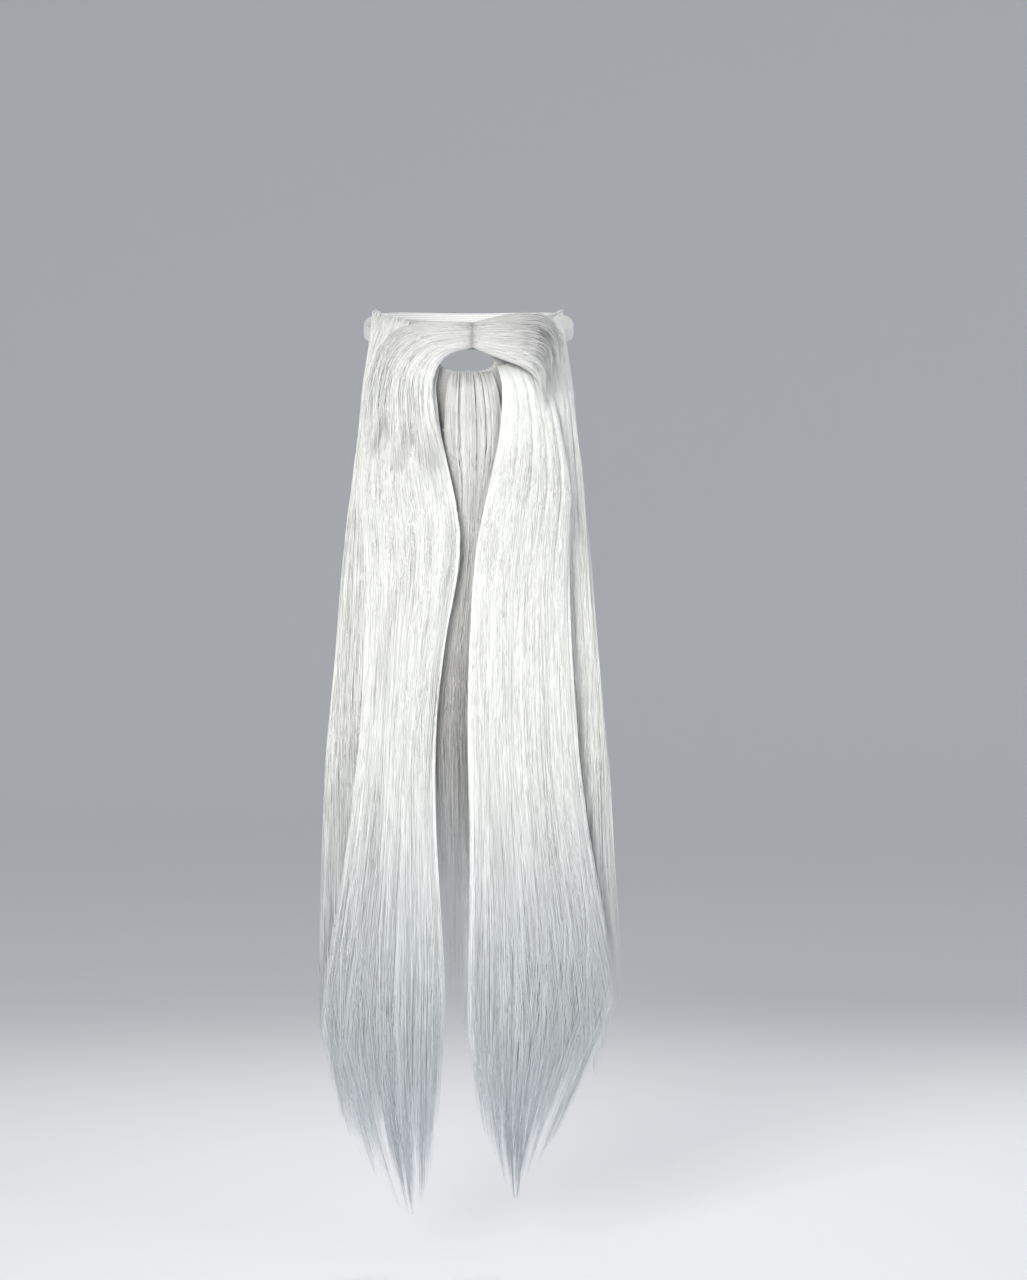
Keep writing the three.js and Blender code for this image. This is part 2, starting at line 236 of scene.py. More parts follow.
# The cloth base: off-white knitted polyester, cut to the lower face, tucked under the chin and open for the
# mouth. Its form is worked out in millimetres, with the middle of the upper lip at the origin.
MM = 0.001
GAP = 0.4
FACE_HALF_WIDTH = 68
FACE_DEPTH = 88
CLOTH_WALL = 1.6
CLOTH_RISE = 5
CLOTH_DROP = 88
CLOTH_END_RISE = 20
CLOTH_END_DROP = 30
CLOTH_REACH = np.radians(78)
CHIN_TUCK = 16
MOUTH_HALF_WIDTH = 20
MOUTH_HALF_HEIGHT = 8.5
MOUTH_DROP = 22.5
JAW = {"wide": [1.0, 1.0, 0.99, 0.96, 0.9, 0.78], "back": [0.0, 0.0, 0.12, 0.2, 0.1, 1.0]}
CLOTH_BOTTOM_POWER = 1.6
CLOTH_UV_SPAN = 240
CLOTH_UV_STRETCH = 1.15
CLOTH_UV_LIP = 0.6
CLOTH_END_COLUMNS = 26
CLOTH_EDGE_COLUMNS = 104
CLOTH_RINGS = 34
RING_POWER = 1.2
OUTER_ROUNDING = 0.004
MOUTH_ROUNDING = 0.008
KNIT_WALE = 1.3
KNIT_COURSE = 1.0
KNIT_FUZZ_GRAIN = 900.0
KNIT_PATCH_GRAIN = 14.0
KNIT_COLOUR = (0.74, 0.735, 0.72)
KNIT_SHADOW = (0.30, 0.30, 0.31)


def along(values, share):
    """Catmull-Rom curve through evenly spaced values, read at shares from 0 to 1."""
    values = np.asarray(values, float)
    place = np.clip(share, 0, 1) * (len(values) - 1)
    first = np.minimum(place.astype(int), len(values) - 2)
    t = place - first
    p, q, r, s = (values[np.clip(first + k, 0, len(values) - 1)] for k in (-1, 0, 1, 2))
    return q + t * (r - p + t * (2 * p - 5 * q + 4 * r - s + t * (3 * (q - r) + s - p))) / 2


def smooth_step(x, low, high):
    """0 below low, 1 above high, and 3t^2 - 2t^3 between."""
    t = np.clip((x - low) / (high - low), 0, 1)
    return t * t * (3 - 2 * t)


def face_form(z):
    """Half width, depth and front of the lower face at heights z."""
    share = (CLOTH_RISE - z) / (CLOTH_RISE + CLOTH_DROP)
    return FACE_HALF_WIDTH * along(JAW["wide"], share), FACE_DEPTH, CHIN_TUCK * along(JAW["back"], share)


def point_on(form, angle, z, out):
    """Ellipse x = half_width sin(angle), y = front + depth (1 - cos(angle)), moved out along its normal."""
    half_width, depth, front = form
    nx, ny = depth * np.sin(angle), -half_width * np.cos(angle)
    length = np.hypot(nx, ny)
    x = half_width * np.sin(angle) + out * nx / length
    y = front + depth * (1 - np.cos(angle)) + out * ny / length
    return np.stack([x, y, z + 0 * x], -1)


def cloth_edges(angle):
    """Heights of the cloth's top and bottom edges, which rise by powers of the angle towards its ends."""
    turned = np.abs(angle) / CLOTH_REACH
    top = CLOTH_RISE + (CLOTH_END_RISE - CLOTH_RISE) * turned**2
    return top, -CLOTH_DROP + (CLOTH_DROP - CLOTH_END_DROP) * turned**CLOTH_BOTTOM_POWER


def cloth_point(u, v, out):
    """A point of the cloth: u across it from the wearer's right, v down it, and out from its inner face."""
    angle = CLOTH_REACH * (2 * u - 1)
    top, bottom = cloth_edges(angle)
    z = top + (bottom - top) * v
    return point_on(face_form(z), angle, z, out)


def cloth_outline():
    """Shares u and v round the cloth's outer edge: down the left end, then along the bottom, up and back."""
    ends = np.arange(CLOTH_END_COLUMNS) / CLOTH_END_COLUMNS
    edges = np.arange(CLOTH_EDGE_COLUMNS) / CLOTH_EDGE_COLUMNS
    u = np.concatenate([1 + 0 * ends, 1 - edges, 0 * ends, edges])
    v = np.concatenate([ends, 1 + 0 * edges, 1 - ends, 0 * edges])
    start = CLOTH_END_COLUMNS // 2
    return np.roll(u, -start), np.roll(v, -start)


def mouth_outline(count):
    """Shares u and v of the mouth's edge: x = a cos(turn), z = middle - b sin(turn), laid onto the cloth."""
    turn = np.arange(count) * 2 * np.pi / count
    z = -MOUTH_DROP - MOUTH_HALF_HEIGHT * np.sin(turn)
    half_width = face_form(z)[0] + CLOTH_WALL / 2
    angle = np.arcsin(MOUTH_HALF_WIDTH * np.cos(turn) / half_width)
    top, bottom = cloth_edges(angle)
    return (angle / CLOTH_REACH + 1) / 2, (z - top) / (bottom - top)


def cloth_uv(points):
    """UV places of points of the cloth: their angle round the face and their height, at one scale."""
    angle = np.arctan2(points[..., 0] / FACE_HALF_WIDTH, (FACE_DEPTH - points[..., 1]) / FACE_DEPTH)
    across = 0.5 + angle * FACE_HALF_WIDTH * CLOTH_UV_STRETCH / CLOTH_UV_SPAN
    return np.stack([across, CLOTH_UV_LIP + points[..., 2] / CLOTH_UV_SPAN], -1).reshape(-1, 2)


def facing_out(points, quads):
    """The faces of a closed shape, turned round where its volume comes out below 0, as the sum over its faces
    of a . (b x c + c x d), with a, b, c and d their corners."""
    a, b, c, d = (points.reshape(-1, 3)[quads[:, k]] for k in range(4))
    volume = (a * (np.cross(b, c) + np.cross(c, d))).sum()
    return quads if volume > 0 else quads[:, ::-1]


def cloth_shell():
    """A grid that runs from the mouth's edge to the outer edge on the outer face and back on the inner face,
    closed both ways. Each ring lies between the two outlines, nearer the mouth where the rings are close."""
    outer_u, outer_v = cloth_outline()
    mouth_u, mouth_v = mouth_outline(len(outer_u))
    ring = np.linspace(0, 1, CLOTH_RINGS) ** RING_POWER
    share = np.concatenate([ring, [1 + OUTER_ROUNDING], ring[::-1], [-MOUTH_ROUNDING]])[:, None]
    out = np.concatenate([0 * ring + CLOTH_WALL, [CLOTH_WALL / 2], 0 * ring, [CLOTH_WALL / 2]])[:, None]
    points = cloth_point(mouth_u + (outer_u - mouth_u) * share, mouth_v + (outer_v - mouth_v) * share, out)
    return points, facing_out(points, grid_faces(len(share), len(outer_u), True, True))


def knit():
    """Plain knit: two slanting legs a stitch, from the fractions of the UV place over wale and course, with fuzz
    in its height and faint patches in its tone."""
    shader = Shader("knitted_cloth")
    across, up = shader.uv()
    leg = ((across * (CLOTH_UV_SPAN / KNIT_WALE)).math("FRACT") - 0.5).math("ABSOLUTE") * 2.0
    slant = (up * (CLOTH_UV_SPAN / KNIT_COURSE) + leg * 0.8).math("FRACT")
    loop = (slant * np.pi).math("SINE") * (leg * (np.pi * 0.9) + 0.15).math("SINE")
    fuzz = shader.noise(across * KNIT_FUZZ_GRAIN, up * KNIT_FUZZ_GRAIN)
    patches = shader.noise(across * KNIT_PATCH_GRAIN, up * KNIT_PATCH_GRAIN)
    height = loop + fuzz * 0.35
    stops = {"stops": [(0.1, KNIT_SHADOW), (0.75, KNIT_COLOUR)]}
    tone = shader.value("ValToRGB", stops, Fac=height * 0.62 + patches * 0.2 - 0.02)
    bump = shader.value("Bump", None, Height=height, Strength=0.7, Distance=0.0004)
    return shader.finish(
        Base_Color=tone,
        Roughness=0.75 + fuzz * 0.2,
        Normal=bump,
        Specular_IOR_Level=0.25,
        Sheen_Weight=0.3,
    )


points, faces = cloth_shell()
cloth_base = new_piece("knitted_cloth_base", points.reshape(-1, 3) * MM, faces, uv=cloth_uv(points))
cloth_base.data.materials.append(knit())
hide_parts("cloth_base")
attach(cloth_base, "root")

# The cloth's overlocked edges and the seams that hold the hair: polyester sewing thread, looped round the
# edges in close turns, and sewn through the cloth in rows, which show as stitches on its inner side.
THREAD_RADIUS = 0.3
THREAD_GRAIN = 1400.0
FORWARDS = (0.0, -1.0, 0.02)
EDGING_PITCH = 2.6
EDGING_STEPS = 8
EDGING_INSET = 1.1
EDGING_WRAP = (1.7, 1.15)
EDGING_SHIFT = 0.02
STITCH_LENGTH = 3.4
STITCH_PITCH = 4.4
STITCH_BEND = np.array([0.25, -0.2, -0.3, -0.2, 0.25])
SEAM_LEVELS = np.array([0.07, 0.2, 0.33, 0.47, 0.6, 0.73, 0.87])
MOUTH_MARGIN = 1.22
FLAT_GRID = (121, 61)


def tubes(lines, radius, turn=None, sides=3, closed=False):
    """Tubes along many lines at once. Each ring is the line's point plus radius times a side and an out
    direction, turned by even angles. A tube ends in two flat faces, or joins its own start where it is
    closed."""
    count, steps = lines.shape[:2]
    ahead = np.roll(lines, -1, 1) - np.roll(lines, 1, 1)
    if not closed:
        ahead[:, 0], ahead[:, -1] = lines[:, 1] - lines[:, 0], lines[:, -1] - lines[:, -2]
    ahead /= np.linalg.norm(ahead, axis=-1, keepdims=True) + 1e-9
    side = np.cross(ahead, FORWARDS)
    side /= np.linalg.norm(side, axis=-1, keepdims=True) + 1e-9
    out = np.cross(side, ahead)
    angle = (0 if turn is None else turn[:, None]) + np.arange(sides)[None] * 2 * np.pi / sides
    angle = angle[:, None, :, None]
    ring = np.cos(angle) * side[:, :, None] + np.sin(angle) * out[:, :, None]
    points = lines[:, :, None] + np.broadcast_to(radius, (count, steps))[:, :, None, None] * ring
    base = (np.arange(count) * steps * sides)[:, None]
    quads = (grid_faces(steps, sides, closed, True)[None] + base[:, :, None]).reshape(-1, 4)
    if closed:
        return points.reshape(-1, 3), quads, np.zeros((0, 3), int)
    fan = np.stack([np.zeros(sides - 2, int), np.arange(1, sides - 1), np.arange(2, sides)], -1)
    roots = base[:, :, None] + fan[None]
    ends = base[:, :, None] + (steps - 1) * sides + fan[None, :, ::-1]
    return points.reshape(-1, 3), quads, np.concatenate([roots.reshape(-1, 3), ends.reshape(-1, 3)])


def joined(parts):
    """One set of points, quads and triangles from many."""
    starts = np.cumsum([0] + [len(points) for points, _, _ in parts])
    return (
        np.concatenate([points for points, _, _ in parts]),
        np.concatenate([quads + start for (_, quads, _), start in zip(parts, starts)]),
        np.concatenate([triangles + start for (_, _, triangles), start in zip(parts, starts)]),
    )


def overlock(u, v, u_in, v_in):
    """A closed thread round an edge of the cloth: the edge's curve plus, turning with its length, wrap
    cos(turn) into the cloth and wrap sin(turn) through it. u_in and v_in are the same edge, moved a little
    inwards."""
    rim = cloth_point(u, v, 0)
    lengths = np.linalg.norm(np.diff(rim, axis=0, append=rim[:1]), axis=1)
    place = np.concatenate([[0], np.cumsum(lengths)])
    turns = round(place[-1] / EDGING_PITCH)
    at = np.arange(turns * EDGING_STEPS) * place[-1] / (turns * EDGING_STEPS)
    u, v, u_in, v_in = (np.interp(at, place, np.append(x, x[0])) for x in (u, v, u_in, v_in))
    edge, through = cloth_point(u, v, CLOTH_WALL / 2), cloth_point(u, v, 1) - cloth_point(u, v, 0)
    inwards = cloth_point(u_in, v_in, CLOTH_WALL / 2) - edge
    inwards /= np.linalg.norm(inwards, axis=1, keepdims=True)
    turn = (np.arange(turns * EDGING_STEPS) * 2 * np.pi / EDGING_STEPS)[:, None]
    line = edge + inwards * (EDGING_INSET + EDGING_WRAP[0] * np.cos(turn))
    line = line + through * EDGING_WRAP[1] * np.sin(turn)
    return tubes(line[None], THREAD_RADIUS, closed=True)


def seam_stitches():
    """Rows of stitches on the inner face, at levels down the cloth. Each is a short thread along the row,
    whose two ends dip into the cloth, and none crosses the mouth."""
    angle = np.arange(-CLOTH_REACH, CLOTH_REACH, STITCH_PITCH / FACE_HALF_WIDTH)[1:-1]
    angle, level = (x.ravel() for x in np.meshgrid(angle, SEAM_LEVELS))
    middle = cloth_point((angle / CLOTH_REACH + 1) / 2, level, 0)
    off_x, off_z = middle[:, 0] / MOUTH_HALF_WIDTH, (middle[:, 2] + MOUTH_DROP) / MOUTH_HALF_HEIGHT
    kept = np.hypot(off_x, off_z) > MOUTH_MARGIN
    across = np.linspace(-0.5, 0.5, len(STITCH_BEND)) * STITCH_LENGTH / FACE_HALF_WIDTH
    u = ((angle[kept, None] + across) / CLOTH_REACH + 1) / 2
    return tubes(cloth_point(u, level[kept, None], STITCH_BEND), THREAD_RADIUS, sides=4)


def sewing_thread(name, colour):
    """Twisted thread: a colour that varies finely over the piece's own coordinates."""
    shader = Shader(name)
    place = shader.make("TexCoord").outputs["Object"]
    twist = shader.value("TexNoise", None, Vector=Value(shader, place), Scale=THREAD_GRAIN, Detail=1.0)
    dark = tuple(0.62 * c for c in colour)
    tone = shader.value("ValToRGB", {"stops": [(0.3, dark), (0.6, colour)]}, Fac=twist)
    return shader.finish(Base_Color=tone, Roughness=0.6, Specular_IOR_Level=0.3)


white_thread = sewing_thread("white_thread", (0.8, 0.795, 0.78))
outer_u, outer_v = cloth_outline()
mouth_u, mouth_v = mouth_outline(len(outer_u))
inner_u = outer_u + EDGING_SHIFT * (0.5 - outer_u)
inner_v = outer_v + 2 * EDGING_SHIFT * (0.5 - outer_v)
wider_u = mouth_u + EDGING_SHIFT * (outer_u - mouth_u)
wider_v = mouth_v + EDGING_SHIFT * (outer_v - mouth_v)
edging = joined([overlock(outer_u, outer_v, inner_u, inner_v), overlock(mouth_u, mouth_v, wider_u, wider_v)])
cloth_edging = new_piece("overlocked_edging", edging[0] * MM, *edging[1:])
points, quads, triangles = seam_stitches()
cloth_seams = new_piece("hair_seams", points * MM, quads, triangles)
for sewn in (cloth_edging, cloth_seams):
    sewn.data.materials.append(white_thread)
    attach(sewn, "root")

grid_u, grid_v = np.meshgrid(*(np.linspace(0, 1, count) for count in FLAT_GRID))
middle_face = cloth_point(grid_u, grid_v, CLOTH_WALL / 2) * MM

# The elastic strap: a white woven elastic band, ribbed along its length, which goes round the back of the
# head. Each end lies inside an end of the cloth and is sewn to it with a box and a cross.
STRAP_WIDTH = 10
STRAP_THICKNESS = 1.2
STRAP_SEAM_LENGTH = 14
STRAP_LEVEL = 2
STRAP_CLIMB = 22
HEAD_HALF_WIDTH = 77
HEAD_LENGTH = 202
HEAD_OUTLINE = ((1, 0.56), (0.88, 0.79), (0.5, 0.95))
STRAP_CLIMB_START = 0.15
STRAP_SPAN_STEPS = 80
STRAP_TABLE = 1201
STRAP_STEPS = 150
STRAP_RIBS = 7
STRAP_WEFT = 1.1
STRAP_FACE_POINTS = 12
STRAP_EDGE = 0.3
STRAP_UV_HALF = 0.1
STRAP_UV_MIDDLES = (0.15, 0.4)
BOX_STITCHES = 5
BOX_SPAN = (2.0, 12.0, 3.6)
STITCH_SPAN = (0.12, 0.88)


def strap_path(steps):
    """Centripetal Catmull-Rom curve through points on the cloth and round the head, mirrored about the
    middle, read at even lengths. Gives its points, its directions and its length."""
    inside = -GAP - STRAP_THICKNESS / 2
    turn = CLOTH_REACH - np.array([1, 0.5, 0]) * STRAP_SEAM_LENGTH / FACE_DEPTH
    on_cloth = point_on(face_form(0.0), turn, 0.0, inside)[:, :2]
    on_head = np.array(HEAD_OUTLINE) * [HEAD_HALF_WIDTH, HEAD_LENGTH]
    half = np.concatenate([on_cloth, on_head])
    knots = np.concatenate([half, [[0, HEAD_LENGTH]], half[::-1] * [-1, 1]])
    knots = np.concatenate([[2 * knots[0] - knots[1]], knots, [2 * knots[-1] - knots[-2]]])
    p, q, r, s = knots[:-3], knots[1:-2], knots[2:-1], knots[3:]
    a, b, c = (np.sqrt(np.linalg.norm(y - x, axis=1))[:, None] for x, y in ((p, q), (q, r), (r, s)))
    leave = ((q - p) / a - (r - p) / (a + b) + (r - q) / b) * b
    arrive = ((r - q) / b - (s - q) / (b + c) + (s - r) / c) * b
    t = np.linspace(0, 1, STRAP_SPAN_STEPS, endpoint=False)[None, :, None]
    q, r, leave, arrive = (x[:, None] for x in (q, r, leave, arrive))
    curve = q + t * leave + t**2 * (3 * (r - q) - 2 * leave - arrive) + t**3 * (2 * (q - r) + leave + arrive)
    curve = np.concatenate([curve.reshape(-1, 2), knots[-2:-1]])
    place = np.concatenate([[0], np.cumsum(np.linalg.norm(np.diff(curve, axis=0), axis=1))])
    at = np.linspace(0, place[-1], steps)
    path = np.stack([np.interp(at, place, curve[:, k]) for k in (0, 1)], -1)
    ahead = np.gradient(path, axis=0)
    return path, ahead / np.linalg.norm(ahead, axis=1, keepdims=True), place[-1]


def strap_point(length, rise, out):
    """A point of the strap: a length along it, a rise from its middle line and a distance out from it. The band
    climbs by smooth_step(sin(pi share)) towards the back of the head."""
    path, ahead, whole = strap_path(STRAP_TABLE)
    place = np.linspace(0, whole, len(path))
    x, y, ahead_x, ahead_y = (np.interp(length, place, values) for values in (*path.T, *ahead.T))
    climb = STRAP_CLIMB * smooth_step(np.sin(np.pi * length / whole), STRAP_CLIMB_START, 1)
    z = STRAP_LEVEL + climb + rise
    return np.stack(np.broadcast_arrays(x + out * ahead_y, y - out * ahead_x, z), -1)


def strap_band():
    """The band: outer and inner faces of points across it, with rounded edges, carried along the path."""
    across = np.sin(np.linspace(-1, 1, STRAP_FACE_POINTS) * np.pi / 2)
    half = STRAP_THICKNESS / 2 * np.maximum(STRAP_EDGE, 1 - across**6)
    rise = np.concatenate([across, across[::-1]]) * STRAP_WIDTH / 2
    out = np.concatenate([half, -half[::-1]])
    length = np.linspace(0, strap_path(2)[2], STRAP_STEPS)[:, None]
    columns = len(rise)
    points = strap_point(length, rise[None], out[None])
    caps = np.arange(1, STRAP_FACE_POINTS)
    start = np.stack([caps - 1, caps, columns - 1 - caps, columns - caps], -1)
    end = start[:, ::-1] + (STRAP_STEPS - 1) * columns
    quads = np.concatenate([grid_faces(STRAP_STEPS, columns, False, True), start, end])
    outer, inner = STRAP_UV_MIDDLES
    side = np.concatenate([across * STRAP_UV_HALF + outer, across[::-1] * STRAP_UV_HALF + inner])
    uv = np.stack(np.broadcast_arrays(side[None], 0.02 + 0.96 * length / length[-1]), -1)
    return points.reshape(-1, 3), quads, uv.reshape(-1, 2)


def woven_elastic(length):
    """Ribs along the band and fine weft across it, as sines of its UV place, with a little fuzz. The tone is
    darker where they are low, as painted shade in the grooves.
    """
    shader = Shader("woven_elastic")
    across, down = shader.uv()
    rib = (across * (STRAP_RIBS * np.pi / (2 * STRAP_UV_HALF))).math("SINE").math("ABSOLUTE")
    weft = (down * (length / STRAP_WEFT * np.pi)).math("SINE").math("ABSOLUTE")
    fuzz = shader.noise(across * 300.0, down * 1500.0)
    height = rib * 0.8 + weft * 0.3 + fuzz * 0.2
    # Painted shade: grey where the ribs and weft are low, pale where they are high.
    stops = {"stops": [(0.2, (0.5, 0.5, 0.5)), (0.8, (0.83, 0.83, 0.81))]}
    tone = shader.value("ValToRGB", stops, Fac=height * 0.8)
    bump = shader.value("Bump", None, Height=height, Strength=0.6, Distance=0.0003)
    return shader.finish(
        Base_Color=tone,
        Roughness=0.7,
        Normal=bump,
        Specular_IOR_Level=0.3,
        Sheen_Weight=0.2,
    )


def box_stitches(whole):
    """Stitches of a box and its cross at each end of the strap, on the face towards the head."""
    near, far, half = BOX_SPAN
    corners = np.array([[near, -half], [far, -half], [far, half], [near, half]])
    starts, ends = corners[[0, 1, 2, 3, 0, 3], None], corners[[1, 2, 3, 0, 2, 1], None]
    within = np.linspace(*STITCH_SPAN, len(STITCH_BEND))
    share = (np.arange(BOX_STITCHES)[:, None] + within[None]) / BOX_STITCHES
    place = starts[:, None] + (ends - starts)[:, None] * share[None, :, :, None]
    place = place.reshape(-1, len(STITCH_BEND), 2)
    out = -STRAP_THICKNESS / 2 + STITCH_BEND
    ends = [strap_point(length, place[..., 1], out) for length in (place[..., 0], whole - place[..., 0])]
    return tubes(np.concatenate(ends), THREAD_RADIUS, sides=4)


strap_length = strap_path(2)[2]
points, quads, uv = strap_band()
elastic_band = new_piece("woven_elastic_strap", points * MM, quads, uv=uv)
elastic_band.data.materials.append(woven_elastic(strap_length))
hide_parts("elastic_strap")
points, quads, triangles = box_stitches(strap_length)
strap_seams = new_piece("strap_seams", points * MM, quads, triangles)
strap_seams.data.materials.append(sewing_thread("grey_thread", (0.66, 0.66, 0.67)))
for sewn in (elastic_band, strap_seams):
    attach(sewn, "root")

# The neck fall: the short hair behind, sewn under the chin, which backs the middle valley. Like all the hair it
# is straight, silky white synthetic fibre, sewn on by its roots, and it ends in thin uneven wisps.
FALL_LENGTH = 538
FALL_HALF_WIDTH = 128
FALL_CURVE_DEPTH = 34
HAIR_DEPTH = 36
NOTCH_SHARE = 0.09
GROOVE_SHARE = 0.34
EDGE_SHARE = 0.16
COLUMNS = ("a_level", "a_side", "b_level", "b_side", "stand", "thick")
STRAND_RADIUS = 0.2
CORE_COLUMNS = 14
CORE_ROWS = 24
CORE_SIDES = (0.03, 0.97)
FOLD_WAVES = ((31, 1.1), (17, 0.8), (9, 0.45))
# Of the strands, the share in the front layer, the share in the back layer, and the depth where both begin.
FRONT_LAYER = 0.6
BACK_LAYER = 0.2
LAYER_DEPTH = 0.78
WISP_DEPTHS = (-0.8, 1.0)
ROOT_POWER = 1.2
PULL_START = 0.35
SHORT_POWER = 1.7
SHORTEST = 0.12
SETTLED_DEPTH = -0.9
STRAY_SHARE = 0.03
STRAY_SWING = 1.6
WAVE_RATES = (4.5, 11)
WAVE_SIZE = 0.45
LEAN_SIZE = 1.4


def hair_form(z):
    """Half width, depth and front of the curve under the hair: close over the cloth, then broad and flat."""
    cover = CLOTH_WALL + GAP
    spread = smooth_step(-z, 0.8 * CLOTH_DROP, CLOTH_DROP + 0.5 * FALL_LENGTH)
    half_width = FACE_HALF_WIDTH + cover + spread * (FALL_HALF_WIDTH - FACE_HALF_WIDTH - cover)
    return half_width, FACE_DEPTH + cover + spread * (FALL_CURVE_DEPTH - FACE_DEPTH - cover), -cover


def height_of(level):
    """A level of the hair tables as a height: 0 at the cloth's top, 1 at its bottom, 2 at the lowest tip."""
    level = np.asarray(level)
    on_cloth = CLOTH_RISE - level * (CLOTH_RISE + CLOTH_DROP)
    return np.where(level <= 1, on_cloth, -CLOTH_DROP - (level - 1) * FALL_LENGTH)


def lock_ends(tips, u):
    """Where the hair ends across a piece: each lock comes to a point at its tip, and a notch parts it from the
    next. Also how near to a lock's middle u is, from 0 between two locks to 1."""
    place = np.clip(u, 0, 1) * len(tips)
    index = np.minimum(place.astype(int), len(tips) - 1)
    within = place - index
    neighbour = np.clip(index + np.where(within < 0.5, -1, 1), 0, len(tips) - 1)
    tips = np.asarray(tips)
    notch = np.minimum(tips[index], tips[neighbour]) - NOTCH_SHARE
    middle = 1 - np.abs(2 * within - 1)
    return notch + (tips[index] - notch) * middle, middle


def hair_place(piece, u, share, depth):
    """Points in a piece of hair: u across it, share of its length down, and depth from -1 at its back to 1 at
    its front. The angle and height run straight from one edge to the other. The thickness is that of the
    table, rounded off towards both edges, less in the grooves between locks, with soft folds in the front."""
    table = dict(zip(COLUMNS, zip(*piece["rows"])))
    column = {name: along(table[name], share) for name in ("a_side", "b_side", "stand", "thick")}
    first_z, second_z = along(height_of(table["a_level"]), share), along(height_of(table["b_level"]), share)
    z = first_z + (second_z - first_z) * u
    first, second = np.arcsin(column["a_side"]), np.arcsin(column["b_side"])
    angle = first + (second - first) * u
    inside = np.clip(2 * u - 1, -1, 1)
    edge = np.maximum(EDGE_SHARE, np.sqrt(1 - inside**4))
    groove = GROOVE_SHARE * (1 - lock_ends(piece["tips"], u)[1]) ** 2
    front = np.clip(depth, 0, 1)
    thin = 1 - front * (0.5 * (1 - smooth_step(share, 0, 0.12)) + groove * smooth_step(share, 0, 0.1))
    width = FALL_HALF_WIDTH * np.abs(second - first)
    folds = sum(
        size * np.sin(2 * np.pi * u * width / wave + phase + 2.5 * share)
        for (wave, size), phase in zip(FOLD_WAVES, piece["phases"])
    )
    folds = folds * front * edge * smooth_step(share, 0.05, 0.4) * (1 - smooth_step(share, 0.75, 1.0))
    out = HAIR_DEPTH * (column["stand"] + depth * column["thick"] * edge * thin / 2)
    out = out + folds * piece["folding"]
    on_cloth = point_on(face_form(z), angle, z, CLOTH_WALL + GAP + out)
    on_hair = point_on(hair_form(z), angle, z, out)
    return on_cloth + (on_hair - on_cloth) * smooth_step(share, 0, piece["leaving"])[..., None]


def hair_core(piece):
    """The fused body under the strands: front and back grids of hair_place, well inside the strands, which end
    before them and thin out towards their tips, closed round the rim."""
    columns = CORE_COLUMNS * len(piece["tips"]) + 1
    u, v = np.meshgrid(np.linspace(*CORE_SIDES, columns), np.linspace(0, 1, CORE_ROWS))
    first, last = piece["core"]
    share = first + v * (lock_ends(piece["tips"], u)[0] * last - first)
    back, front = piece["core_depth"]
    fronts = back + (front - back) * smooth_step(v, -0.04, 0.1) * (1 - v**2)
    backs = np.full(u.shape, back - 0.05)
    points = np.stack([hair_place(piece, u, share, depth) for depth in (fronts, backs)])
    sheet = grid_faces(CORE_ROWS, columns)
    grid = np.arange(CORE_ROWS * columns).reshape(CORE_ROWS, columns)
    edge = np.concatenate([grid[:-1, 0], grid[-1, :-1], grid[:0:-1, -1], grid[0, :0:-1]])
    ahead = np.roll(edge, -1)
    rim = np.stack([edge, edge + grid.size, ahead + grid.size, ahead], -1)
    quads = np.concatenate([sheet, sheet[:, ::-1] + grid.size, rim])
    points = points.reshape(-1, 3)
    return points, facing_out(points, quads), np.tile(u.ravel(), 2)


